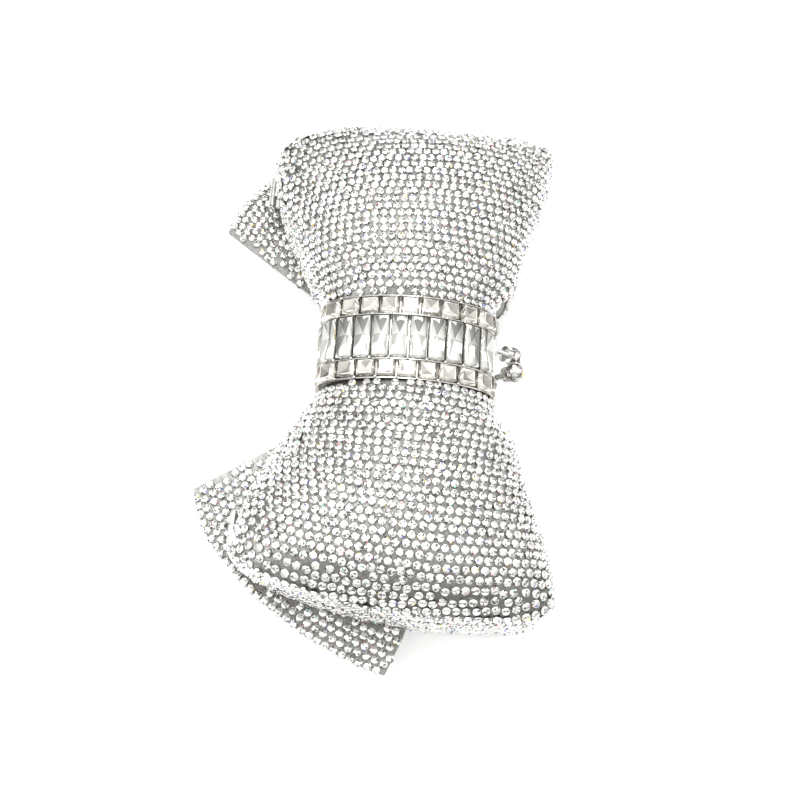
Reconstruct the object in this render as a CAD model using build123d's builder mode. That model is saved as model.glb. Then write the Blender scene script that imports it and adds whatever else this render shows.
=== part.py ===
from build123d import *
import math
import os

os.makedirs("parts", exist_ok=True)

# The bag lies on its back. X runs from the hinge to the clasp, Y along the bow, Z out of the front.
parting = 22.0        # height of the plane where the two shells meet
half_gap = 0.1        # half the gap between the two closed shells
wall = 1.4            # metal shell
frame_wall = 1.7      # frame strip round each mouth
frame_height = 4.0
lining_wall = 0.8
end_radius = 8.0      # rounding between the faces and the end walls of the lobes

block_front = 22.7    # height of the block that rounds the ends, over the parting plane

# neck under the band
neck_x = 8.5          # middle of the neck
groove = 14.2         # half the length of the neck
neck_half = 24.8
neck_front = 15.3
neck_back = 16.6

# lobe stations: y, hinge-side edge, clasp-side edge, height of the front, depth of the back
stations = [
    (14.2, -17.3, 35.7, 17.6, 17.2),
    (24.0, -22.7, 39.9, 19.8, 19.6),
    (36.0, -29.3, 44.1, 21.4, 21.8),
    (50.0, -35.5, 48.5, 22.4, 22.8),
    (62.0, -38.5, 52.1, 22.0, 23.0),
    (70.0, -39.9, 54.0, 20.0, 22.8),
    (75.5, -40.8, 55.3, 16.2, 22.6),
    (79.5, -41.4, 56.1, 11.6, 22.4),
    (83.0, -41.8, 56.9, 7.4, 22.2),
    (88.0, -42.1, 57.7, 4.6, 22.0),
]
# end wall of a lobe, from the clasp side to the hinge side
end_arc = [
    (56.9, 78.4), (48.5, 79.7), (35.5, 80.8), (22.5, 81.1), (8.5, 80.7), (-4.5, 79.2),
    (-18.5, 76.0), (-29.5, 72.2), (-41.3, 64.8),
]

# band
band_half = 13.9
band_fit = 0.3
band_sheet = 1.0
rail_height = 1.5
stone_height = 2.4
baguette = (5.2, 14.2)
square = (5.7, 5.7)
baguette_pitch = 5.55
square_pitch = 6.1
square_row = 10.5

# hinge
hinge_x = -39.9
hinge_y = 58.5        # middle of each hinge
knuckle_radius = 1.2
knuckle_length = 3.4
knuckle_gap = 0.15
pin_radius = 0.5
pin_fit = 0.05
leaf = 0.9
leaf_end = -30.6

# kiss-lock
ball_radius = 3.3
ball_x = 42.6
ball_side = 3.7
lid_ball_z = 21.5
base_ball_z = 26.4
post_radius = 1.1

# tails
tail_thickness = 1.5
rim_width = 0.9
tail_outline = [
    (-55.0, 45.5), (-52.0, 54.0), (-47.6, 61.4), (-43.3, 66.6), (-34.3, 74.8), (-17.5, 86.2),
    (-4.0, 92.9), (7.3, 96.5),
]
tail_inner = [(12.1, 85.5), (20.5, 60.0), (8.5, 30.0), (-15.5, 20.0), (-21.5, 23.0)]
tail_origin = (-55.0, 45.5, 16.0)
tail_normal = (0.0922, 0.0045, 0.9957)

corner_angles = [0, 18, 34, 45, 56, 72, 90]


def cushion(half_width, edge, crown, power):
    """Half of a rounded section as (x, height), from +half_width to -half_width."""
    points = []
    for sign in (1, -1):
        angles = corner_angles if sign > 0 else corner_angles[-2::-1]
        for a in angles:
            c = math.cos(math.radians(a))
            s = math.sin(math.radians(a))
            r = (c ** power + s ** power) ** (-1 / power)
            u = min(1.0, c * r)
            height = (edge + (crown - edge) * (1 - u * u)) * s * r
            points.append((sign * half_width * u, height))
    return points


def side_of(front, distance):
    """Height at a distance from the parting plane, on the front or the back side."""
    return parting + distance if front else parting - distance


def section_curve(y, left, right, tall, front, share, power):
    """The curve over one half of the bow at y, from the clasp side to the hinge side."""
    up = 1 if front else -1
    middle = (left + right) / 2
    crown = tall - half_gap
    edge = crown * share if front else crown
    curve = cushion((right - left) / 2, edge, crown, power if front else power + 1.0)
    points = [Vector(middle + x, y, side_of(front, half_gap + h)) for x, h in curve]
    steps = [i / (len(points) - 1) for i in range(len(points))]
    ends = [Vector(0, 0, up), Vector(0, 0, -up)]
    return Edge.make_spline(points, tangents=ends, parameters=steps, scale=False)


def section_wire(y, left, right, tall, front, share, power, skirt):
    """Closed section of one half of the bow, standing on the parting plane or on a skirt."""
    curve = section_curve(y, left, right, tall, front, share, power)
    corners = [curve @ 1, curve @ 0]
    if skirt > 0:
        drop = Vector(0, 0, -skirt if front else skirt)
        corners = [curve @ 1, (curve @ 1) + drop, (curve @ 0) + drop, curve @ 0]
    edges = [Edge.make_line(start, end) for start, end in zip(corners, corners[1:])]
    return Wire([curve] + edges)


def station_at(y):
    """Station values at y, between two rows of the table."""
    for low, high in zip(stations, stations[1:]):
        if y <= high[0]:
            t = (y - low[0]) / (high[0] - low[0])
            return tuple(a + t * (b - a) for a, b in zip(low, high))
    return stations[-1]


def neck_block(inset, front, low, high, skirt):
    """One half of the neck between two values of y."""
    half = neck_half - inset
    tall = (neck_front if front else neck_back) - inset
    wire = section_wire(low, neck_x - half, neck_x + half, tall, front, 0.58, 6.0, skirt)
    face = Face(wire)
    return Solid.extrude(face, Vector(0, high - low, 0))


def inward(start, end):
    """Unit normal on the right-hand side of the way from start to end."""
    length = math.hypot(end[0] - start[0], end[1] - start[1])
    return (end[1] - start[1]) / length, -(end[0] - start[0]) / length


def moved_corner(point, first, second, distance):
    """Where two lines through a corner meet once both have moved along their normals."""
    turn = first[0] * second[1] - first[1] * second[0]
    x = (second[1] - first[1]) / turn
    y = (first[0] - second[0]) / turn
    return point[0] + distance * x, point[1] + distance * y


def moved_curve(points, distance):
    """A run of points moved along its normals."""
    moved = []
    for i, point in enumerate(points):
        n = inward(points[min(len(points) - 1, i + 1)], points[max(0, i - 1)])
        moved.append((point[0] + distance * n[0], point[1] + distance * n[1]))
    return moved


def end_block(inset, front):
    """Upright block with the plan of a lobe and a rounded upper edge."""
    tall = (block_front if front else 22.0) - inset
    feet = [(-24.5, -6.0), (38.0, -6.0)]
    arc = moved_curve(end_arc, inset)
    clasp_side = inward(end_arc[0], feet[1])
    hinge_side = inward(feet[0], end_arc[-1])
    arc[0] = moved_corner(end_arc[0], clasp_side, inward(end_arc[1], end_arc[0]), inset)
    arc[-1] = moved_corner(end_arc[-1], inward(end_arc[-1], end_arc[-2]), hinge_side, inset)
    ends = [(feet[0][0] + inset, feet[0][1]), (feet[1][0] - inset, feet[1][1])]
    with BuildPart() as block:
        with BuildSketch(Plane.XY.offset(parting - 5 if front else parting - tall)) as plan:
            with BuildLine():
                Spline(*arc)
                Polyline(arc[-1], *ends, arc[0])
            make_face()
            corners = plan.vertices().sort_by(Axis.Y)[2:4]
            fillet(corners, radius=end_radius + 1.0 - inset)
        extrude(amount=tall + 5)
        face = block.faces().sort_by(Axis.Z)[-1 if front else 0]
        rim = [e for e in face.edges() if e.center().Y > 8]
        fillet(rim, radius=end_radius - inset)
    return block.part


def half_bow(inset, front, skirt):
    """A quarter of the bow: one lobe and half the neck, on one side of the parting plane."""
    start = groove + max(0.0, inset)
    rows = [station_at(start)] + [s for s in stations if s[0] > start + 3]
    wires = []
    for y, left, right, ahead, behind in rows:
        share = 0.62 + 0.12 * min(1.0, (y - groove) / 40)
        tall = (ahead if front else behind) - inset
        wires.append(
            section_wire(y, left + inset, right - inset, tall, front, share, 3.8, skirt)
        )
    lobe = Solid.make_loft(wires)
    block = end_block(inset, front)
    neck = neck_block(inset, front, 0, start + 0.5, skirt)
    with BuildPart() as bow:
        add(lobe)
        add(block, mode=Mode.INTERSECT)
        add(neck)
    return bow.part


def leaf_box(front, mode):
    """The leaf let into the edge of a shell, from the knuckles to inside the frame."""
    width = knuckle_length if front else 3 * knuckle_length + 2 * knuckle_gap
    with Locations(((hinge_x + leaf_end) / 2, hinge_y, side_of(front, half_gap + leaf / 2))):
        Box(leaf_end - hinge_x, width, leaf, mode=mode)


def skin(outer, inner, front, height):
    """The layer between two insets of the bow, on one side of the parting plane."""
    whole = half_bow(outer, front, 0)
    hollow = half_bow(inner, front, 1)
    with BuildPart() as layer:
        add(whole)
        add(hollow, mode=Mode.SUBTRACT)
        if height > 0:
            with Locations((0, 0, side_of(front, half_gap + height / 2))):
                Box(300, 300, height, mode=Mode.INTERSECT)
        leaf_box(front, Mode.SUBTRACT)
        mirror(about=Plane.XZ)
    return layer.part


def band(front):
    sheet = band_fit + band_sheet
    strap = neck_block(-sheet, front, -band_half, band_half, 0)
    hole = neck_block(-band_fit, front, -band_half - 1, band_half + 1, 1)
    rails = [
        neck_block(-sheet - rail_height, front, y, y + width, 0)
        for y, width in ((-band_half, 0.4), (-7.6, 0.35), (7.25, 0.35), (band_half - 0.4, 0.4))
    ]
    with BuildPart() as body:
        add(strap)
        for rail in rails:
            add(rail)
        add(hole, mode=Mode.SUBTRACT)
        with Locations((neck_x + neck_half + 2.6, 0, side_of(front, 3.6))):
            Box(2.4, 15.0, 7.6, mode=Mode.SUBTRACT)
    return body.part


def seats(front, pitch, count, row):
    """Planes the stones of one row stand on, along the curve of the band."""
    depth = band_fit + band_sheet
    half = neck_half + depth
    tall = (neck_front if front else neck_back) + depth
    curve = section_curve(row, neck_x - half, neck_x + half, tall, front, 0.58, 6.0)
    planes = []
    for i in range(count):
        along = curve.length / 2 - (i - (count - 1) / 2) * pitch
        point = curve.position_at(along, position_mode=PositionMode.LENGTH)
        tangent = curve.tangent_at(along, position_mode=PositionMode.LENGTH)
        normal = Vector(tangent.Z, 0, -tangent.X)
        if normal.Z * (1 if front else -1) < 0:
            normal = normal * -1
        planes.append(Plane(origin=point + normal * 0.06, x_dir=tangent, z_dir=normal))
    return planes


def side_seats(front, sides, row):
    """Planes for the stones on the upright side walls of the band."""
    z = parting + 3.2 if front else parting - 3.2
    planes = []
    for side in sides:
        x = neck_x + side * (neck_half + band_fit + band_sheet + 0.05)
        planes.append(Plane(origin=(x, row, z), x_dir=(0, 0, 1), z_dir=(side, 0, 0)))
    return planes


def cut_stones(planes, size, crown):
    """Flat-backed stones with a bevelled table, one on each plane."""
    with BuildPart() as stones:
        with BuildSketch(*planes):
            Rectangle(size[0], size[1])
        extrude(amount=stone_height - crown)
        tops = [p.offset(stone_height - crown) for p in planes]
        with BuildSketch(*tops):
            Rectangle(size[0], size[1])
        extrude(amount=crown, taper=48)
    return stones.part


def tail(side, rim):
    """A tail without its rim, or the rim alone, trimmed against the base shell."""
    bow = half_bow(-0.05, False, 1)
    inner = moved_curve(tail_outline[::-1], rim_width)[::-1]
    lean = math.degrees(math.atan2(tail_normal[0], tail_normal[2]))
    with BuildPart() as plate:
        with BuildSketch(Plane.XY.offset(-5)):
            with BuildLine():
                if rim:
                    Spline(*tail_outline)
                    Line(tail_outline[-1], inner[-1])
                    Spline(*inner[::-1])
                    Line(inner[0], tail_outline[0])
                else:
                    Spline(*inner)
                    Polyline(inner[-1], *tail_inner, inner[0])
            make_face()
        extrude(amount=45)
        with Locations(Location(tail_origin, (0, lean, 0))):
            Box(400, 400, tail_thickness, mode=Mode.INTERSECT)
        add(bow, mode=Mode.SUBTRACT)
    piece = max(plate.part.solids(), key=lambda s: s.volume)
    return piece if side > 0 else mirror(piece, about=Plane.XZ)


def hinge_leaf(front, side):
    """One leaf with its knuckles: the middle one on the lid, the two outer ones on the base."""
    step = knuckle_length + knuckle_gap
    offsets = [0.0] if front else [-step, step]
    width = knuckle_length if front else 3 * knuckle_length + 2 * knuckle_gap
    middle = side * hinge_y
    with BuildPart() as body:
        with Locations(((hinge_x + leaf_end) / 2, middle, side_of(front, half_gap + leaf / 2))):
            Box(leaf_end - hinge_x, width, leaf)
        for offset in offsets:
            with Locations(Location((hinge_x, middle + offset, parting), (90, 0, 0))):
                Cylinder(knuckle_radius, knuckle_length)
        if not front:
            with Locations((hinge_x, middle, parting)):
                Box(2 * knuckle_radius + 0.7, knuckle_length + 2 * knuckle_gap, 8, mode=Mode.SUBTRACT)
        with Locations(Location((hinge_x, middle, parting), (90, 0, 0))):
            Cylinder(pin_radius + pin_fit, 30, mode=Mode.SUBTRACT)
    return body.part


def hinge_pin(side):
    length = 3 * knuckle_length + 2 * knuckle_gap + 0.6
    middle = side * hinge_y
    with BuildPart() as pin:
        with Locations(Location((hinge_x, middle, parting), (90, 0, 0))):
            Cylinder(pin_radius, length)
        for end in (1, -1):
            y = middle + end * (length / 2 + 0.25)
            with Locations(Location((hinge_x, y, parting), (90, 0, 0))):
                Cylinder(pin_radius + 0.4, 0.5)
    return pin.part


def clasp_plate(front):
    x = neck_x + neck_half + band_fit + band_sheet + 0.75
    with BuildPart() as plate:
        with Locations((x, 0, side_of(front, 0.3 + 3.0))):
            Box(1.3, 13.6, 6.0)
        fillet(plate.edges().filter_by(Axis.X), radius=1.2)
    return plate.part


def clasp_post(front):
    """Stem from the plate to the cup the crystal ball sits in."""
    y = ball_side if front else -ball_side
    foot_z = parting + 3.6 if front else parting - 2.6
    centre = Vector(ball_x, y, lid_ball_z if front else base_ball_z)
    foot = Vector(neck_x + neck_half + band_fit + band_sheet + 1.42, y, foot_z)
    way = (centre - foot).normalized()
    with BuildPart() as post:
        with BuildSketch(Plane(origin=foot - way * 1.2, z_dir=way)):
            Circle(post_radius)
        extrude(amount=(centre - foot).length)
        with Locations(Location((foot.X + 0.3, y, foot_z), (0, 90, 0))):
            Cylinder(1.9, 0.6)
        with BuildSketch(Plane(origin=centre - way * (ball_radius + 0.5), z_dir=way)):
            Circle(ball_radius * 0.78)
        extrude(amount=2.0)
        with Locations(centre):
            Sphere(ball_radius + 0.06, mode=Mode.SUBTRACT)
        with Locations((foot.X - 5, y, foot_z)):
            Box(10, 20, 40, mode=Mode.SUBTRACT)
    return max(post.part.solids(), key=lambda s: s.volume)


def rivets(front):
    """Two rivets on each leaf, inside the frame."""
    x = leaf_end - 0.9
    z = side_of(front, half_gap + leaf + 0.35)
    shift = 1.0 if front else 3.5
    spots = [(x, side * hinge_y + dy, z) for side in (1, -1) for dy in (-shift, shift)]
    with BuildPart() as body:
        with Locations(*spots):
            Cylinder(0.7, 0.6)
    return body.part


inset_frame = wall + 0.1
inset_lining = inset_frame + frame_wall + 0.1

# lid: the front half of the bow
with BuildPart() as front_shell:
    add(skin(0.0, wall, True, 0))
front_shell.part.label = "front_shell"
export_step(front_shell.part, "parts/front_shell.step")

with BuildPart() as front_frame:
    add(skin(inset_frame, inset_frame + frame_wall, True, frame_height))
front_frame.part.label = "front_frame"
export_step(front_frame.part, "parts/front_frame.step")

with BuildPart() as front_lining:
    add(skin(inset_lining, inset_lining + lining_wall, True, 0))
front_lining.part.label = "front_lining"
export_step(front_lining.part, "parts/front_lining.step")

with BuildPart() as front_band:
    add(band(True))
front_band.part.label = "front_band"
export_step(front_band.part, "parts/front_band.step")

with BuildPart() as front_baguettes:
    add(cut_stones(seats(True, baguette_pitch, 10, 0), baguette, 1.0))
    add(cut_stones(side_seats(True, [-1], 0), baguette, 1.0))
front_baguettes.part.label = "front_baguettes"
export_step(front_baguettes.part, "parts/front_baguettes.step")

with BuildPart() as front_squares_left:
    add(cut_stones(seats(True, square_pitch, 9, square_row), square, 0.9))
    add(cut_stones(side_seats(True, [-1, 1], square_row), square, 0.9))
front_squares_left.part.label = "front_squares_left"
export_step(front_squares_left.part, "parts/front_squares_left.step")

with BuildPart() as front_squares_right:
    add(cut_stones(seats(True, square_pitch, 9, -square_row), square, 0.9))
    add(cut_stones(side_seats(True, [-1, 1], -square_row), square, 0.9))
front_squares_right.part.label = "front_squares_right"
export_step(front_squares_right.part, "parts/front_squares_right.step")

with BuildPart() as front_clasp_plate:
    add(clasp_plate(True))
front_clasp_plate.part.label = "front_clasp_plate"
export_step(front_clasp_plate.part, "parts/front_clasp_plate.step")

with BuildPart() as front_clasp_post:
    add(clasp_post(True))
front_clasp_post.part.label = "front_clasp_post"
export_step(front_clasp_post.part, "parts/front_clasp_post.step")

with BuildPart() as front_clasp_ball:
    with Locations((ball_x, ball_side, lid_ball_z)):
        Sphere(ball_radius)
front_clasp_ball.part.label = "front_clasp_ball"
export_step(front_clasp_ball.part, "parts/front_clasp_ball.step")

with BuildPart() as front_hinge_leaf_left:
    add(hinge_leaf(True, 1))
front_hinge_leaf_left.part.label = "front_hinge_leaf_left"
export_step(front_hinge_leaf_left.part, "parts/front_hinge_leaf_left.step")

with BuildPart() as front_hinge_leaf_right:
    add(hinge_leaf(True, -1))
front_hinge_leaf_right.part.label = "front_hinge_leaf_right"
export_step(front_hinge_leaf_right.part, "parts/front_hinge_leaf_right.step")

with BuildPart() as front_leaf_rivets:
    add(rivets(True))
front_leaf_rivets.part.label = "front_leaf_rivets"
export_step(front_leaf_rivets.part, "parts/front_leaf_rivets.step")

# base: the back half of the bow with the tails
with BuildPart() as back_shell:
    add(skin(0.0, wall, False, 0))
back_shell.part.label = "back_shell"
export_step(back_shell.part, "parts/back_shell.step")

with BuildPart() as back_frame:
    add(skin(inset_frame, inset_frame + frame_wall, False, frame_height))
back_frame.part.label = "back_frame"
export_step(back_frame.part, "parts/back_frame.step")

with BuildPart() as back_lining:
    add(skin(inset_lining, inset_lining + lining_wall, False, 0))
back_lining.part.label = "back_lining"
export_step(back_lining.part, "parts/back_lining.step")

with BuildPart() as back_band:
    add(band(False))
back_band.part.label = "back_band"
export_step(back_band.part, "parts/back_band.step")

with BuildPart() as back_baguettes:
    add(cut_stones(seats(False, baguette_pitch, 9, 0), baguette, 1.0))
    add(cut_stones(side_seats(False, [-1], 0), baguette, 1.0))
back_baguettes.part.label = "back_baguettes"
export_step(back_baguettes.part, "parts/back_baguettes.step")

with BuildPart() as back_squares_left:
    add(cut_stones(seats(False, square_pitch, 8, square_row), square, 0.9))
    add(cut_stones(side_seats(False, [-1, 1], square_row), square, 0.9))
back_squares_left.part.label = "back_squares_left"
export_step(back_squares_left.part, "parts/back_squares_left.step")

with BuildPart() as back_squares_right:
    add(cut_stones(seats(False, square_pitch, 8, -square_row), square, 0.9))
    add(cut_stones(side_seats(False, [-1, 1], -square_row), square, 0.9))
back_squares_right.part.label = "back_squares_right"
export_step(back_squares_right.part, "parts/back_squares_right.step")

with BuildPart() as back_clasp_plate:
    add(clasp_plate(False))
back_clasp_plate.part.label = "back_clasp_plate"
export_step(back_clasp_plate.part, "parts/back_clasp_plate.step")

with BuildPart() as back_clasp_post:
    add(clasp_post(False))
back_clasp_post.part.label = "back_clasp_post"
export_step(back_clasp_post.part, "parts/back_clasp_post.step")

with BuildPart() as back_clasp_ball:
    with Locations((ball_x, -ball_side, base_ball_z)):
        Sphere(ball_radius)
back_clasp_ball.part.label = "back_clasp_ball"
export_step(back_clasp_ball.part, "parts/back_clasp_ball.step")

with BuildPart() as back_hinge_leaf_left:
    add(hinge_leaf(False, 1))
back_hinge_leaf_left.part.label = "back_hinge_leaf_left"
export_step(back_hinge_leaf_left.part, "parts/back_hinge_leaf_left.step")

with BuildPart() as back_hinge_leaf_right:
    add(hinge_leaf(False, -1))
back_hinge_leaf_right.part.label = "back_hinge_leaf_right"
export_step(back_hinge_leaf_right.part, "parts/back_hinge_leaf_right.step")

with BuildPart() as back_leaf_rivets:
    add(rivets(False))
back_leaf_rivets.part.label = "back_leaf_rivets"
export_step(back_leaf_rivets.part, "parts/back_leaf_rivets.step")

with BuildPart() as hinge_pin_left:
    add(hinge_pin(1))
hinge_pin_left.part.label = "hinge_pin_left"
export_step(hinge_pin_left.part, "parts/hinge_pin_left.step")

with BuildPart() as hinge_pin_right:
    add(hinge_pin(-1))
hinge_pin_right.part.label = "hinge_pin_right"
export_step(hinge_pin_right.part, "parts/hinge_pin_right.step")

with BuildPart() as tail_left:
    add(tail(1, False))
tail_left.part.label = "tail_left"
export_step(tail_left.part, "parts/tail_left.step")

with BuildPart() as tail_right:
    add(tail(-1, False))
tail_right.part.label = "tail_right"
export_step(tail_right.part, "parts/tail_right.step")

with BuildPart() as tail_rim_left:
    add(tail(1, True))
tail_rim_left.part.label = "tail_rim_left"
export_step(tail_rim_left.part, "parts/tail_rim_left.step")

with BuildPart() as tail_rim_right:
    add(tail(-1, True))
tail_rim_right.part.label = "tail_rim_right"
export_step(tail_rim_right.part, "parts/tail_rim_right.step")
print("all parts written")
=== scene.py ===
import math
from itertools import product

import bmesh
import bpy
import numpy as np
from mathutils import Matrix, Vector, noise
from mathutils.bvhtree import BVHTree
from mathutils.kdtree import KDTree


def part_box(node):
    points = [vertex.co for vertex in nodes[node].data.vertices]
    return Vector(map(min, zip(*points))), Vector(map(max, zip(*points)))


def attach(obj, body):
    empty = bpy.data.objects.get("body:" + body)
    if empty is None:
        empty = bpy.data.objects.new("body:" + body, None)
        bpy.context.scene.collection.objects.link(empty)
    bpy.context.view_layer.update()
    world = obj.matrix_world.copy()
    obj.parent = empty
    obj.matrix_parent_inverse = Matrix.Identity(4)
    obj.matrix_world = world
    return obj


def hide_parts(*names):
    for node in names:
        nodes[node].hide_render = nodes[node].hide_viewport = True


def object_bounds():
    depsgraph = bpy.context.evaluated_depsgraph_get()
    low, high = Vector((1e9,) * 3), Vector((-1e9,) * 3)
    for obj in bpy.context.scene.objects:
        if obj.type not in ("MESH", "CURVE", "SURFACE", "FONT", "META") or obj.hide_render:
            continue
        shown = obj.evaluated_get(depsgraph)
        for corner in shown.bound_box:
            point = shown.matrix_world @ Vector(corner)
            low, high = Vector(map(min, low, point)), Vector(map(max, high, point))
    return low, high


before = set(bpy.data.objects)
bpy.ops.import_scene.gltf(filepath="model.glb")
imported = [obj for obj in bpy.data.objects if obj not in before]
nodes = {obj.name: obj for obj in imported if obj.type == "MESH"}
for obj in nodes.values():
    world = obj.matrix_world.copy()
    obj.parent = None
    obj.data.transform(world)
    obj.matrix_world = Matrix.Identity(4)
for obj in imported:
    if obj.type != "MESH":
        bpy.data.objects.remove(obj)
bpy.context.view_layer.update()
mm = 0.001
partingZ = 22.0
bowX = 8.5       # middle of the neck, in mm

view = dict(target=(8.5, 0.0, 24.0), distance=330.0, elevation=66.28, azimuth=-2.15, roll=5.72,
            lens=46.93, shiftX=-0.0084, shiftY=-0.0531)


def addCamera(v):
    e, a, r = (math.radians(v[k]) for k in ("elevation", "azimuth", "roll"))
    back = Vector((math.sin(a) * math.cos(e), -math.cos(a) * math.cos(e), math.sin(e)))
    right = Vector((0, 0, 1)).cross(back).normalized()
    up = back.cross(right)
    x = right * math.cos(r) + up * math.sin(r)
    y = up * math.cos(r) - right * math.sin(r)
    data = bpy.data.cameras.new("camera")
    data.lens = v["lens"]
    data.sensor_width = 36
    data.shift_x = v["shiftX"]
    data.shift_y = v["shiftY"]
    data.clip_start = 0.01
    cam = bpy.data.objects.new("camera", data)
    turn = Matrix((x, y, back)).transposed().to_4x4()
    cam.matrix_world = Matrix.Translation((Vector(v["target"]) + back * v["distance"]) * mm) @ turn
    bpy.context.scene.collection.objects.link(cam)
    bpy.context.scene.camera = cam


# place in mm from the middle of the bag, size in mm, power in W
lamps = [
    dict(name="topBox", place=(-60, 120, 520), size=(260, 200), power=0.70),
    dict(name="leftBox", place=(-420, -60, 330), size=(220, 320), power=0.95),
    dict(name="rightBox", place=(430, 90, 300), size=(140, 300), power=0.45),
    dict(name="frontStrip", place=(60, -430, 260), size=(420, 60), power=0.06),
    dict(name="backStrip", place=(20, 420, 240), size=(420, 70), power=0.34),
    dict(name="sparkA", place=(150, -170, 480), size=(18, 18), power=0.10),
    dict(name="sparkB", place=(-170, -120, 500), size=(18, 18), power=0.10),
    dict(name="sparkC", place=(40, 230, 470), size=(18, 18), power=0.10),
]


def addLamps():
    aim = Vector((bowX, 0, 25))
    for lamp in lamps:
        data = bpy.data.lights.new(lamp["name"], "AREA")
        data.shape = "RECTANGLE"
        data.size, data.size_y = (s * mm for s in lamp["size"])
        data.energy = lamp["power"]
        obj = bpy.data.objects.new(lamp["name"], data)
        place = Vector(lamp["place"])
        turn = (place - aim).to_track_quat("Z", "Y").to_matrix().to_4x4()
        obj.matrix_world = Matrix.Translation(place * mm) @ turn
        bpy.context.scene.collection.objects.link(obj)


sky = dict(horizon=0.40, zenith=1.46, colour=(1.0, 1.0, 0.99))


def setWorld():
    world = bpy.data.worlds.new("studio")
    world.use_nodes = True
    tree = world.node_tree
    back = tree.nodes["Background"]
    back.inputs["Color"].default_value = (*sky["colour"], 1)
    place = tree.nodes.new("ShaderNodeTexCoord")
    split = tree.nodes.new("ShaderNodeSeparateXYZ")
    rise = tree.nodes.new("ShaderNodeMapRange")   # darker towards the horizon
    rise.inputs["To Min"].default_value = sky["horizon"]
    rise.inputs["To Max"].default_value = sky["zenith"]
    tree.links.new(place.outputs["Generated"], split.inputs["Vector"])
    tree.links.new(split.outputs["Z"], rise.inputs["Value"])
    tree.links.new(rise.outputs["Result"], back.inputs["Strength"])
    bpy.context.scene.world = world
    bpy.context.scene.view_settings.view_transform = "Standard"


addCamera(view)
addLamps()
setWorld()
print("camera and lamps placed")


def newMaterial(name, **values):
    mat = bpy.data.materials.new(name)
    mat.use_nodes = True
    shader = mat.node_tree.nodes["Principled BSDF"]
    for key, value in values.items():
        socket = shader.inputs[key.replace("_", " ")]
        socket.default_value = value
    return mat, mat.node_tree, shader


def addNode(tree, kind, **values):
    node = tree.nodes.new(kind)
    for key, value in values.items():
        if key in node.inputs:
            node.inputs[key].default_value = value
        else:
            setattr(node, key, value)
    return node


def addBump(tree, shader, height, strength, distance):
    bump = addNode(tree, "ShaderNodeBump", Strength=strength, Distance=distance)
    tree.links.new(height, bump.inputs["Height"])
    tree.links.new(bump.outputs["Normal"], shader.inputs["Normal"])


def noiseOn(tree, scale, detail=3.0, rough=0.5):
    place = addNode(tree, "ShaderNodeTexCoord")
    cloud = addNode(tree, "ShaderNodeTexNoise", Scale=scale, Detail=detail, Roughness=rough)
    tree.links.new(place.outputs["Object"], cloud.inputs["Vector"])
    return cloud


def rampOn(tree, source, stops):
    ramp = addNode(tree, "ShaderNodeValToRGB")
    while len(ramp.color_ramp.elements) < len(stops):
        ramp.color_ramp.elements.new(0.5)
    for element, (at, colour) in zip(ramp.color_ramp.elements, stops):
        element.position = at
        element.color = (*colour, 1)
    tree.links.new(source, ramp.inputs["Fac"])
    return ramp


def plateMaterial(name, dark, light, rough, scale=900, bump=0.12):
    mat, tree, shader = newMaterial(name, Metallic=1.0)
    cloud = noiseOn(tree, scale)
    ramp = rampOn(tree, cloud.outputs["Fac"], [(0.3, dark), (0.7, light)])
    tree.links.new(ramp.outputs["Color"], shader.inputs["Base Color"])
    wear = noiseOn(tree, scale * 0.2, 5.0, 0.65)
    spread = addNode(tree, "ShaderNodeMapRange")
    spread.inputs["To Min"].default_value = rough[0]
    spread.inputs["To Max"].default_value = rough[1]
    tree.links.new(wear.outputs["Fac"], spread.inputs["Value"])
    tree.links.new(spread.outputs["Result"], shader.inputs["Roughness"])
    addBump(tree, shader, cloud.outputs["Fac"], bump, 0.00003)
    return mat


# foil-backed crystal: the colour of each facet, with its painted reflections and glints, is stored on the
# mesh
def crystalMaterial(name, roughness, metallic, coat):
    mat, tree, shader = newMaterial(name, Metallic=metallic, Roughness=roughness)
    shader.inputs["Coat Weight"].default_value = coat
    shader.inputs["Coat Roughness"].default_value = 0.03
    tintAndReflection = addNode(tree, "ShaderNodeVertexColor", layer_name="facetTintAndPaintedLight")
    tree.links.new(tintAndReflection.outputs["Color"], shader.inputs["Base Color"])
    return mat


shellPlate = plateMaterial("shellPlate", (0.16, 0.158, 0.15), (0.30, 0.296, 0.285), (0.28, 0.45))
framePlate = plateMaterial("framePlate", (0.72, 0.72, 0.71), (0.82, 0.82, 0.81), (0.10, 0.22))
fittingPlate = plateMaterial("fittingPlate", (0.62, 0.62, 0.60), (0.76, 0.76, 0.74), (0.12, 0.28))
bandPlate = plateMaterial("bandPlate", (0.45, 0.44, 0.42), (0.62, 0.61, 0.59), (0.15, 0.3))
paveCrystal = crystalMaterial("paveCrystal", 0.08, 0.88, 0.0)
bandCrystal = crystalMaterial("bandCrystal", 0.10, 0.92, 0.6)
ballCrystal = crystalMaterial("ballCrystal", 0.05, 0.9, 0.6)


# a round stone seen as its crown and, inside the table, the facets of its foiled back
def roundStone(radius, height):
    n = 8
    ring = []
    for r, z, turn in ((0.92, 0.0, 0.5), (1.0, 0.42, 0.5), (0.66, 1.0, 0.0)):
        for i in range(n):
            a = 2 * math.pi * (i + turn) / n
            ring.append((r * radius * math.cos(a), r * radius * math.sin(a), z * height))
    ring.append((0.0, 0.0, 0.50 * height))
    faces = []
    for i in range(n):
        j = (i + 1) % n
        faces.append((i, j, n + j, n + i))
        faces.append((n + i, n + j, 2 * n + j))
        faces.append((n + i, 2 * n + j, 2 * n + i))
        faces.append((2 * n + i, 2 * n + j, 3 * n))
    return np.array(ring), faces


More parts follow.
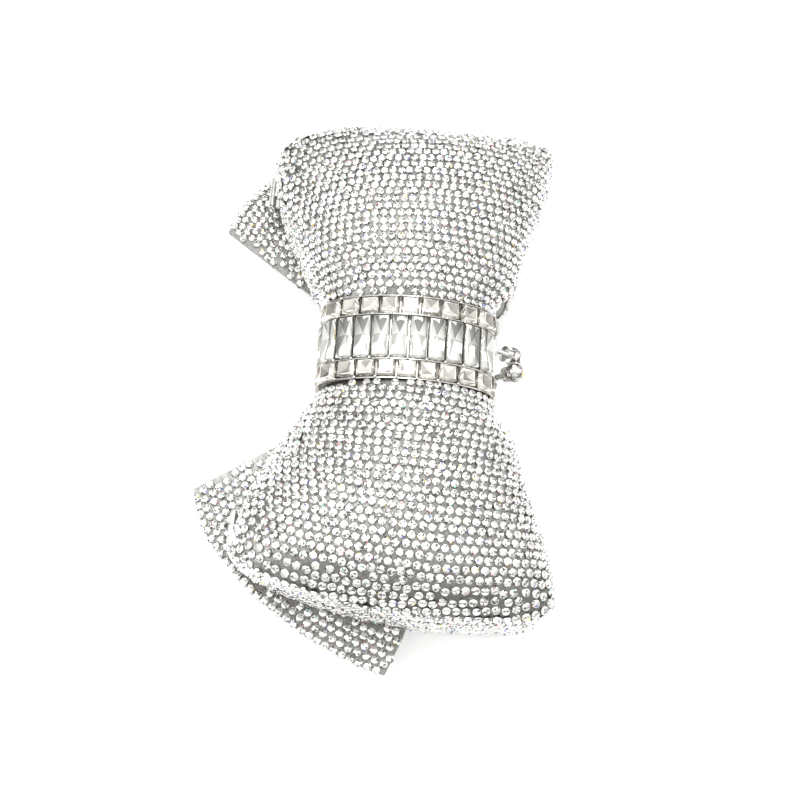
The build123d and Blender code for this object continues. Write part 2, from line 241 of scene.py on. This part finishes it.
# a rectangular stone: bevelled crown, with the facets of its foiled back inside the table
def boxStone(length, width, height, bevel, depth):
    def corner(dx, dy, z):
        x, y = length / 2 - dx, width / 2 - dy
        return [(x, y, z), (-x, y, z), (-x, -y, z), (x, -y, z)]
    verts = corner(0, 0, 0) + corner(0, 0, 0.55 * height) + corner(bevel, bevel, height)
    verts += corner(bevel * 1.35, bevel * 1.35, height)
    verts.append((0, 0, height - depth))
    faces = []
    for ring in (0, 4, 8):
        for i in range(4):
            j = (i + 1) % 4
            faces.append((ring + i, ring + j, ring + 4 + j, ring + 4 + i))
    for i in range(4):
        faces.append((12 + i, 12 + (i + 1) % 4, 16))
    return np.array(verts), faces


# a long stone whose table shows a painted dark reflection wedge at one end and a painted bright one at the
# other
def baguetteStone(length, width, height, bevel, depth):
    def ring(inset, z):
        x, y = length / 2 - inset * 1.6, width / 2 - inset
        return [(x, y, z), (0, y, z), (-x, y, z), (-x, -y, z), (0, -y, z), (x, -y, z)]
    verts = ring(0, 0) + ring(0, 0.5 * height) + ring(bevel, height)
    verts.append((0.08 * length, 0, height - depth))
    faces = []
    for low in (0, 6):
        for i in range(6):
            j = (i + 1) % 6
            faces.append((low + i, low + j, low + 6 + j, low + 6 + i))
    for i in range(6):
        faces.append((12 + i, 12 + (i + 1) % 6, 18))
    return np.array(verts), faces


# one mesh of many stones. A seat is a point, a normal and a turn; units are mm
def stoneMesh(name, shape, seats, colours, material):
    verts, faces = shape
    count = len(seats)
    points = np.empty((count, len(verts), 3))
    for k, (place, normal, along) in enumerate(seats):
        z = np.asarray(normal, float)
        z /= np.linalg.norm(z)
        x = np.asarray(along, float)
        x = x - z * x.dot(z)
        x /= np.linalg.norm(x)
        y = np.cross(z, x)
        points[k] = verts @ np.array((x, y, z)) + np.asarray(place)
    sizes = np.array([len(f) for f in faces], np.int32)
    loops = np.concatenate([np.array(f, np.int32) for f in faces])
    allLoops = (loops[None, :] + (np.arange(count) * len(verts))[:, None]).ravel().astype(np.int32)
    allSizes = np.tile(sizes, count)
    starts = np.concatenate(([0], np.cumsum(allSizes)[:-1])).astype(np.int32)
    mesh = bpy.data.meshes.new(name)
    mesh.vertices.add(count * len(verts))
    mesh.vertices.foreach_set("co", (points * mm).ravel())
    mesh.loops.add(len(allLoops))
    mesh.loops.foreach_set("vertex_index", allLoops)
    mesh.polygons.add(len(allSizes))
    mesh.polygons.foreach_set("loop_start", starts)
    mesh.polygons.foreach_set("loop_total", allSizes)
    mesh.update(calc_edges=True)
    layer = mesh.color_attributes.new("facetTintAndPaintedLight", "FLOAT_COLOR", "CORNER")
    perFace = colours(count, len(faces))
    perLoop = np.repeat(perFace.reshape(-1, 4), allSizes, axis=0)
    layer.data.foreach_set("color", perLoop.ravel())
    mesh.materials.append(material)
    obj = bpy.data.objects.new(name, mesh)
    bpy.context.scene.collection.objects.link(obj)
    return obj


# colour for every facet: a grey per stone and per facet, whose bright and dark facets are painted
# reflections, with a few painted rainbow glints
def facetTintsAndPaintedLight(rng, low, high, warm, glints, tones=None, spread=(0.62, 1.0), power=0.5, dark=0.0):
    def paint(count, faces):
        stone = rng.uniform(low, high, (count, 1, 1))
        if tones is None:
            facet = spread[0] + (spread[1] - spread[0]) * rng.random((count, faces, 1)) ** power
            facet = np.where(rng.random((count, faces, 1)) < dark, facet * 0.28, facet)
        else:
            facet = np.array(tones)[None, :, None] * rng.uniform(0.86, 1.12, (count, faces, 1))
        out = np.ones((count, faces, 4))
        out[..., :3] = np.minimum(stone * facet * np.array(warm), 1.0)
        lucky = rng.random((count, faces)) < glints
        hues = np.array([(1.0, 0.80, 0.25), (0.35, 0.45, 1.0), (0.45, 0.90, 0.70), (1.0, 0.50, 0.45)])
        out[lucky, :3] = hues[rng.integers(0, len(hues), lucky.sum())]
        return out
    return paint


print("materials and stone shapes ready")


pave = dict(radius=1.41, height=0.95, pitch=2.74, rowStep=0.90, closest=2.36, lean=5.4, drift=0.07,
            maxDrift=0.22, edge=1.5, tries=26000, passes=3, rounds=8, reach=3.02, wander=1.2)
rowGap = pave["pitch"] * pave["rowStep"]
roundShape = roundStone(pave["radius"], pave["height"])
# rows follow the end wall of a lobe; x and y in mm
endLine = [(-41.3, 64.8), (-29.5, 72.2), (-18.5, 76.0), (-4.5, 79.2), (8.5, 80.7), (22.5, 81.1),
           (35.5, 80.8), (48.5, 79.7), (56.9, 78.4)]
rowBend = dict(near=0.15, far=1.0, start=15.3, corner=9.0)
hingeRoom = dict(y=58.5, half=6.6, x=-36.0, high=3.2)   # left free of stones


# a search tree over a CAD node, in mm
def surfaceOf(name):
    mesh = nodes[name].data
    mesh.calc_loop_triangles()
    verts = [v.co * 1000 for v in mesh.vertices]
    return BVHTree.FromPolygons(verts, [tuple(t.vertices) for t in mesh.loop_triangles])


def endY(x):
    xs, ys = zip(*endLine)
    return float(np.interp(x, xs, ys))


# the first surface met, with its normal turned along the ray
def hit(tree, origin, direction):
    place, normal, _, _ = tree.ray_cast(Vector(origin), Vector(direction).normalized(), 200)
    if place is None:
        return None
    if normal.dot(Vector(direction)) < 0:
        normal = -normal
    return np.array(place), np.array(normal)


# the last surface met on the way out, so inner walls don't count
def outermost(tree, origin, direction):
    direction = np.asarray(direction)
    far = np.asarray(origin) + direction / np.linalg.norm(direction) * 160
    found = hit(tree, far, -direction)
    return found and (found[0], -found[1])


# points and normals at even steps along a run of hits
def evenly(run, pitch, phase):
    places = np.array([p for p, n in run])
    normals = np.array([n for p, n in run])
    steps = np.linalg.norm(np.diff(places, axis=0), axis=1)
    along = np.concatenate(([0.0], np.cumsum(steps)))
    count = int(along[-1] / pitch + 0.35)
    if count < 1:
        return []
    at = (np.arange(count + (0 if phase else 1)) + (0.5 if phase else 0.0)) / count * along[-1]
    out = []
    for a in at:
        k = min(np.searchsorted(along, a), len(along) - 1)
        k0 = max(0, k - 1)
        t = 0 if along[k] == along[k0] else (a - along[k0]) / (along[k] - along[k0])
        out.append((places[k0] * (1 - t) + places[k] * t, normals[k0] * (1 - t) + normals[k] * t))
    return out


# rows round a lobe, from one edge of the shell over its face to the other
def girthRows(tree, up):
    rows = []
    middle = endY(bowX) - rowBend["corner"]
    count = int((middle - rowBend["start"]) / rowGap)
    for k in range(-4, count + 1):
        level = middle - (count - k) * (middle - rowBend["start"]) / count
        share = max(0.0, k / count)
        bend = rowBend["near"] + (rowBend["far"] - rowBend["near"]) * share
        run = []
        for step in range(0, 181):
            a = math.radians(step)
            direction = (math.cos(a), 0.0, up * math.sin(a))
            x = bowX
            found = None
            for _ in range(3):
                y = level + bend * (endY(x) - endY(bowX))
                if y < rowBend["start"] - 0.3:
                    found = None
                    break
                found = outermost(tree, (2.0, y, partingZ + up * 0.2), direction)
                if found is None:
                    break
                x = found[0][0]
            if found is not None and up * (found[0][2] - partingZ) > pave["edge"]:
                run.append(found)
            elif len(run) > 3:
                rows.append(evenly(run, pave["pitch"], k % 2))
                run = []
        if len(run) > 3:
            rows.append(evenly(run, pave["pitch"], k % 2))
    return rows


# the plan of a lobe's end, with its outward normals, from clasp side to hinge side
def outlineAt(tree, z):
    run = []
    for step in range(0, 181):
        a = math.radians(-12 + step * 204 / 180)
        found = outermost(tree, (4.0, 52.0, z), (math.cos(a), math.sin(a), 0.0))
        if found is not None and found[0][1] > 40:
            run.append(found)
    places = np.array([p for p, n in run])
    flat = np.gradient(places[:, :2], axis=0)
    flat /= np.linalg.norm(flat, axis=1)[:, None]
    normals = np.stack((flat[:, 1], -flat[:, 0]), axis=1)
    return places, normals


# rows over the rounded edge and down the end wall
def endRows(tree, up):
    places, normals = outlineAt(tree, partingZ + up * 8.0)
    inner = places[:, :2] - normals * rowBend["corner"]
    top = partingZ + up * 13.0
    rows = []
    profile = []
    mid = len(inner) // 2

    def fan(spot, n, z, step):
        a = math.radians(step)
        return outermost(tree, (*spot, z), (n[0] * math.cos(a), n[1] * math.cos(a), up * math.sin(a)))

    def addRow(z, step, phase):
        run = [found for found in (fan(s, n, z, step) for s, n in zip(inner, normals)) if found]
        if len(run) > 3:
            rows.append(evenly(run, pave["pitch"], phase))

    for step in range(90, -1, -1):
        found = fan(inner[mid], normals[mid], top, step)
        if found is not None:
            profile.append((found[0], step))
    travelled = pave["pitch"] * 0.2
    last = profile[0][0]
    k = 0
    for place, step in profile[1:]:
        travelled += np.linalg.norm(place - last)
        last = place
        if travelled < rowGap:
            continue
        travelled = 0.0
        k += 1
        addRow(top, step, k % 2)
    level = abs(last[2] - partingZ) - rowGap + travelled
    while level > pave["edge"]:
        k += 1
        addRow(partingZ + up * level, 0, k % 2)
        level -= rowGap
    return rows


# keeps stones that stand clear of those before them
def thinOut(rows, keepClear, closest):
    kept = []
    grid = {}
    for row in rows:
        for place, normal in row:
            if not keepClear(place, normal):
                continue
            key = tuple(int(math.floor(c / closest)) for c in place)
            around = [other for cell in product((-1, 0, 1), repeat=3)
                      for other in grid.get(tuple(k + c for k, c in zip(key, cell)), ())]
            if all(np.linalg.norm(other - place) >= closest for other in around):
                kept.append((place, normal))
                grid.setdefault(key, []).append(place)
    return kept


# adds a stone wherever a whole one still fits
def fillHoles(kept, candidates, keepClear, closest):
    return thinOut([kept, candidates], keepClear, closest)


# lets crowded stones push apart a little, staying on the surface
def settle(kept, tree, rounds, reach, keepClear):
    places = np.array([p for p, n in kept])
    normals = np.array([n for p, n in kept])
    home = places.copy()
    for _ in range(rounds):
        finder = KDTree(len(places))
        for i, p in enumerate(places):
            finder.insert(p, i)
        finder.balance()
        moved = places.copy()
        for i, p in enumerate(places):
            push = np.zeros(3)
            for other, j, distance in finder.find_range(p, reach):
                if j != i and distance > 1e-6:
                    push += (p - np.array(other)) / distance * (reach - distance)
            target = p + 0.30 * push
            if np.linalg.norm(target - home[i]) > pave["wander"]:
                continue
            found = tree.find_nearest(Vector(target))
            if found[0] is None:
                continue
            spot, n = np.array(found[0]), np.array(found[1])
            if n.dot(normals[i]) < 0:
                n = -n
            if keepClear(spot, n):
                moved[i] = spot
                normals[i] = n / np.linalg.norm(n) * 0.6 + normals[i] * 0.4
        places = moved
    return [(p, n / np.linalg.norm(n)) for p, n in zip(places, normals)]


# random spots on the outside of a shell, for filling holes
def scatter(tree, name, count, rng, up):
    mesh = nodes[name].data
    mesh.calc_loop_triangles()
    verts = np.array([v.co[:] for v in mesh.vertices]) * 1000
    tris = np.array([t.vertices[:] for t in mesh.loop_triangles])
    tris = tris[verts[tris][:, :, 1].mean(axis=1) > 12]
    a, b, c = verts[tris[:, 0]], verts[tris[:, 1]], verts[tris[:, 2]]
    cross = np.cross(b - a, c - a)
    size = np.linalg.norm(cross, axis=1)
    spots = []
    for k in rng.choice(len(tris), count, p=size / size.sum()):
        u, v = rng.random(2)
        if u + v > 1:
            u, v = 1 - u, 1 - v
        place = a[k] + u * (b[k] - a[k]) + v * (c[k] - a[k])
        normal = cross[k] / size[k]
        deep = min(7.0, abs(place[2] - partingZ))
        core = np.array((bowX * 0.6, min(place[1], 66.0), partingZ + up * deep))   # well inside the lobe
        if normal.dot(place - core) <= 0:
            normal = -normal
        start = place + normal * 0.05
        if tree.ray_cast(Vector(start), Vector(normal), 60)[0] is None:
            spots.append((place, normal))
    return spots


def lobeStones(tree, node, up, rng):
    def keepClear(place, normal):
        if up * (place[2] - partingZ) < pave["edge"] or place[1] < rowBend["start"]:
            return False
        atHinge = (abs(place[1] - hingeRoom["y"]) < hingeRoom["half"] and place[0] < hingeRoom["x"]
                   and abs(place[2] - partingZ) < hingeRoom["high"])
        return not atHinge and normal[1] > -0.75
    rows = girthRows(tree, up) + endRows(tree, up)
    spots = scatter(tree, node, pave["tries"], rng, up)
    kept = thinOut(rows, keepClear, pave["closest"])
    for _ in range(pave["passes"]):
        kept = fillHoles(kept, spots, keepClear, pave["closest"])
        kept = settle(kept, tree, pave["rounds"], pave["reach"], keepClear)
    return kept


# seats for the stones, each leaning and turned a little by its own amount
def tilted(stones, rng, mirror):
    seats = []
    lean = math.radians(pave["lean"])
    for place, normal in stones:
        place = place + np.clip(rng.normal(0, pave["drift"], 3), -pave["maxDrift"], pave["maxDrift"])
        normal = normal + rng.normal(0, lean, 3)
        if mirror:
            place[1] = -place[1]
            normal[1] = -normal[1]
        along = rng.normal(0, 1, 3)
        seats.append((place, normal, along))
    return seats


rng = np.random.default_rng(7)
# pavé facets: random greys with about a sixth of the facets painted dark as painted reflections, and a few
# painted rainbow glints
paveColours = facetTintsAndPaintedLight(rng, 0.92, 1.0, (1.0, 0.99, 0.975), 0.014, dark=0.17)
for body, node, up, seed in (("lid", "front_shell", 1, 11), ("base", "back_shell", -1, 23)):
    tree = surfaceOf(node)
    stones = lobeStones(tree, node, up, np.random.default_rng(seed))
    for side, mirror in (("Left", False), ("Right", True)):
        seats = tilted(stones, rng, mirror)
        piece = stoneMesh(body + "Stones" + side, roundShape, seats, paveColours, paveCrystal)
        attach(piece, body)
    print("round stones on the", body, 2 * len(stones))


tailRows = dict(first=1.5, depth=60.0, margin=0.85, fromShell=1.3, tries=9000,
                normal=(0.0922, 0.0045, 0.9957))
tailEdge = [(-55.0, 45.5), (-52.0, 54.0), (-47.6, 61.4), (-43.3, 66.6), (-34.3, 74.8),
            (-17.5, 86.2), (-4.0, 92.9), (7.3, 96.5)]


# a fine line through the points
def smoothLine(points, steps):
    pts = np.array(points)
    t = np.concatenate(([0.0], np.cumsum(np.linalg.norm(np.diff(pts, axis=0), axis=1))))
    fine = np.linspace(0, t[-1], steps)
    line = np.stack([np.interp(fine, t, pts[:, k]) for k in range(2)], axis=1)
    for _ in range(40):
        line[1:-1] = (line[:-2] + 2 * line[1:-1] + line[2:]) / 4
    return line


# rows along the outer edge of a tail, on its front or its back face
def tailStones(face):
    plate = surfaceOf("tail_left")
    rim = surfaceOf("tail_rim_left")
    wall = surfaceOf("back_shell")
    line = smoothLine(tailEdge, 240)
    slope = np.gradient(line, axis=0)
    slope /= np.linalg.norm(slope, axis=1)[:, None]
    inside = np.stack((slope[:, 1], -slope[:, 0]), axis=1)
    up = np.array(tailRows["normal"]) * face
    above = 60.0 if face > 0 else -40.0     # height the rays start from
    rows = []
    depth = tailRows["first"]
    k = 0
    while depth < tailRows["depth"]:
        run = []
        for spot, n in zip(line, inside):
            p = spot + n * depth
            start = (p[0], p[1], above)
            found = hit(plate, start, (0, 0, -face)) or hit(rim, start, (0, 0, -face))
            if found is None:
                if len(run) > 2:
                    rows.append(evenly(run, pave["pitch"], k % 2))
                run = []
                continue
            run.append((found[0], up))
        if len(run) > 2:
            rows.append(evenly(run, pave["pitch"], k % 2))
        depth += rowGap
        k += 1

    def clear(place, normal):
        if wall.find_nearest(Vector(place))[3] < tailRows["fromShell"]:
            return False
        for step in range(8):
            a = step * math.pi / 4
            beside = place + np.array((math.cos(a), math.sin(a), 0)) * tailRows["margin"] + up * 3
            if hit(plate, beside, -up) is None and hit(rim, beside, -up) is None:
                return False
        return True

    low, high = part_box("tail_left")
    picker = np.random.default_rng(31)
    spots = []
    for _ in range(tailRows["tries"]):
        x, y = picker.uniform(low[0], high[0]) / mm, picker.uniform(low[1], high[1]) / mm
        found = hit(plate, (x, y, above), (0, 0, -face))
        if found is not None and abs(found[1][2]) > 0.9:
            spots.append((found[0], up))
    kept = thinOut(rows, clear, pave["closest"])
    return fillHoles(kept, spots, clear, pave["closest"])


for face, word in ((1, "Front"), (-1, "Back")):
    stones = tailStones(face)
    for side, mirror in (("Left", False), ("Right", True)):
        seats = tilted(stones, rng, mirror)
        piece = stoneMesh("tailStones" + word + side, roundShape, seats, paveColours, paveCrystal)
        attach(piece, "base")
    print("round stones on the tails", word, 2 * len(stones))


bandStones = dict(baguette=(14.2, 5.2, 2.4, 0.55, 1.35), square=(5.7, 5.7, 2.4, 0.75, 1.25),
                  bead=0.46, beadLift=2.021, lean=0.02)


# the separate solids of a CAD node, each as its points in mm
def islands(name):
    bm = bmesh.new()
    bm.from_mesh(nodes[name].data)
    bmesh.ops.remove_doubles(bm, verts=bm.verts, dist=1e-6)
    seen = set()
    groups = []
    for vert in bm.verts:
        if vert in seen:
            continue
        stack, group = [vert], []
        seen.add(vert)
        while stack:
            v = stack.pop()
            group.append(tuple(v.co * 1000))
            for edge in v.link_edges:
                other = edge.other_vert(v)
                if other not in seen:
                    seen.add(other)
                    stack.append(other)
        groups.append(np.array(group))
    bm.free()
    return groups


# base point, outward normal and long direction of each stone of the band
def bandSeats(name):
    seats = []
    for group in islands(name):
        flat = group[:, [0, 2]]
        centre = flat.mean(axis=0)
        _, _, axes = np.linalg.svd(flat - centre)
        normal = axes[1]
        out = centre - np.array((bowX, partingZ))
        if normal.dot(out) < 0:
            normal = -normal
        heights = (flat - centre) @ normal
        widths = (flat - centre) @ axes[0]
        base = centre + normal * heights.min() + axes[0] * (widths.max() + widths.min()) / 2
        y = (group[:, 1].max() + group[:, 1].min()) / 2
        seats.append((np.array((base[0], y, base[1])), np.array((normal[0], 0.0, normal[1])), (0, 1, 0)))
    return seats


def leaned(seats, amount):
    return [(p, n + rng.normal(0, amount, 3), a) for p, n, a in seats]


# small round prongs that hold the band stones
def beadMesh(name, spots, body):
    bm = bmesh.new()
    bmesh.ops.create_icosphere(bm, subdivisions=2, radius=bandStones["bead"])
    ball = np.array([v.co[:] for v in bm.verts])
    faces = [tuple(v.index for v in f.verts) for f in bm.faces]
    bm.free()
    seats = [(p, n, (0, 1, 0)) for p, n in spots]
    colours = facetTintsAndPaintedLight(rng, 0.8, 0.9, (1, 1, 0.98), 0)
    piece = stoneMesh(name, (ball, faces), seats, colours, fittingPlate)
    for face in piece.data.polygons:
        face.use_smooth = True
    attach(piece, body)


baguetteShape = baguetteStone(*bandStones["baguette"])
# painted light on the baguettes: walls painted darker, crown sides painted lit or shaded, and table wedges
# painted as dark and bright reflections
wall = [0.6] * 6
crown = [0.95, 0.8, 0.7, 0.95, 0.75, 0.9]
table = [0.85, 0.55, 0.97, 0.62, 0.95, 0.40]   # last is the painted dark reflection wedge, third the painted bright one
squareShape = boxStone(*bandStones["square"])
clearColours = facetTintsAndPaintedLight(rng, 0.80, 0.92, (1.0, 1.0, 0.95), 0.004, wall + crown + table)
# square stones: a warm tint with random dark and bright facets as painted reflections, and a few painted
# glints
warmColours = facetTintsAndPaintedLight(rng, 0.85, 1.0, (1.0, 0.955, 0.88), 0.015, None, (0.25, 1.0), 0.7)
for word, body in (("front", "lid"), ("back", "base")):
    spots = []
    for kind, shape, colours, slot in (("baguettes", baguetteShape, clearColours, "baguette_crystal"),
                                       ("squares_left", squareShape, warmColours, "square_crystal"),
                                       ("squares_right", squareShape, warmColours, "square_crystal")):
        seats = bandSeats(word + "_" + kind)
        title = word + kind.title().replace("_", "")
        piece = stoneMesh(title, shape, leaned(seats, bandStones["lean"]), colours, bandCrystal)
        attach(piece, body)
        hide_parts(word + "_" + kind)
        half = shape[0][:, 0].max()
        for (p0, n0, _), (p1, n1, _) in zip(seats, seats[1:]):
            if np.linalg.norm(p0 - p1) > 7.5:
                continue
            n = n0 + n1
            n = n / np.linalg.norm(n)
            for end in (1, -1):
                if kind == "baguettes" or abs(p0[1] + end * half) > 12:
                    spots.append(((p0 + p1) / 2 + n * bandStones["beadLift"]
                                  + np.array((0, end * (half + 0.25), 0)), n))
    beadMesh(word + "Prongs", spots, body)
print("band stones set")


clasp = dict(subdivisions=2, turn=0.4)
for word, body in (("front", "lid"), ("back", "base")):
    name = word + "_clasp_ball"
    low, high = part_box(name)
    centre = (Vector(low) + Vector(high)) / 2
    radius = (high[0] - low[0]) / 2
    bm = bmesh.new()
    bmesh.ops.create_icosphere(bm, subdivisions=clasp["subdivisions"], radius=radius)
    bmesh.ops.rotate(bm, verts=bm.verts, matrix=Matrix.Rotation(clasp["turn"], 3, "X"))
    verts = np.array([v.co[:] for v in bm.verts]) * 1000
    faces = [tuple(v.index for v in f.verts) for f in bm.faces]
    bm.free()
    place = np.array(centre) * 1000
    # painted reflections on the ball: facets painted from near black to white, with a few painted rainbow
    # glints
    colours = facetTintsAndPaintedLight(rng, 0.9, 1.0, (1.0, 0.97, 0.94), 0.04, None, (0.06, 1.0), 1.0)
    seat = (place, (0, 0, 1), (1, 0, 0))
    piece = stoneMesh(word + "ClaspBall", (verts, faces), [seat], colours, ballCrystal)
    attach(piece, body)
    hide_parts(name)
print("kiss-lock balls made")


lining = dict(flatNear=5.0, fullFrom=9.0, wave=0.30, waveSize=11.0, crease=0.16, creaseSize=4.5)


def liningMaterial():
    mat, tree, shader = newMaterial("silverKid", Metallic=0.35, Roughness=0.42)
    grain = addNode(tree, "ShaderNodeTexVoronoi", Scale=1500.0)
    place = addNode(tree, "ShaderNodeTexCoord")
    tree.links.new(place.outputs["Object"], grain.inputs["Vector"])
    tone = noiseOn(tree, 90, 4.0)
    ramp = rampOn(tree, tone.outputs["Fac"], [(0.3, (0.50, 0.50, 0.52)), (0.7, (0.66, 0.66, 0.68))])
    tree.links.new(ramp.outputs["Color"], shader.inputs["Base Color"])
    addBump(tree, shader, grain.outputs["Distance"], 0.35, 0.00012)
    return mat


silverKid = liningMaterial()
for word, body in (("front", "lid"), ("back", "base")):
    name = word + "_lining"
    bm = bmesh.new()
    bm.from_mesh(nodes[name].data)
    bmesh.ops.remove_doubles(bm, verts=bm.verts, dist=1e-6)
    for _ in range(3):
        longEdges = [e for e in bm.edges if e.calc_length() > 0.004]
        if longEdges:
            bmesh.ops.subdivide_edges(bm, edges=longEdges, cuts=1)
            bmesh.ops.triangulate(bm, faces=[f for f in bm.faces if len(f.verts) > 3])
    for vert in bm.verts:
        p = vert.co * 1000
        deep = abs(p.z - partingZ)
        share = min(1.0, max(0.0, (deep - lining["flatNear"]) / (lining["fullFrom"] - lining["flatNear"])))
        wave = noise.noise_vector(p / lining["waveSize"]) * lining["wave"]
        crease = noise.noise_vector(p / lining["creaseSize"]) * lining["crease"]
        vert.co += (wave + crease) * share * mm
    mesh = bpy.data.meshes.new(word + "Lining")
    bm.to_mesh(mesh)
    bm.free()
    for face in mesh.polygons:
        face.use_smooth = True
    mesh.materials.append(silverKid)
    piece = bpy.data.objects.new(word + "Lining", mesh)
    bpy.context.scene.collection.objects.link(piece)
    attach(piece, body)
    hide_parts(name)
print("lining creased")


finishes = dict(shell=shellPlate, tail_left=shellPlate, tail_right=shellPlate, rim=framePlate,
                frame=framePlate, band=bandPlate)
for name, obj in nodes.items():
    chosen = fittingPlate
    for word, material in finishes.items():
        if word in name:
            chosen = material
    obj.data.materials.clear()
    obj.data.materials.append(chosen)


floorLook = dict(size=3.0, gap=0.02, colour=(0.88, 0.88, 0.88), glow=0.22)
mesh = bpy.data.meshes.new("floor")
half = floorLook["size"] / 2
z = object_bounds()[0][2] - floorLook["gap"] * mm
corners = [(-half, -half, z), (half, -half, z), (half, half, z), (-half, half, z)]
mesh.from_pydata(corners, [], [(0, 1, 2, 3)])
floor = bpy.data.objects.new("floor", mesh)
bpy.context.scene.collection.objects.link(floor)
mat, tree, shader = newMaterial("palePaper", Roughness=0.9)
shader.inputs["Base Color"].default_value = (*floorLook["colour"], 1)
shader.inputs["Emission Color"].default_value = (1, 1, 1, 1)
shader.inputs["Emission Strength"].default_value = floorLook["glow"]
fibre = noiseOn(tree, 400)
addBump(tree, shader, fibre.outputs["Fac"], 0.05, 0.0001)
mesh.materials.append(mat)
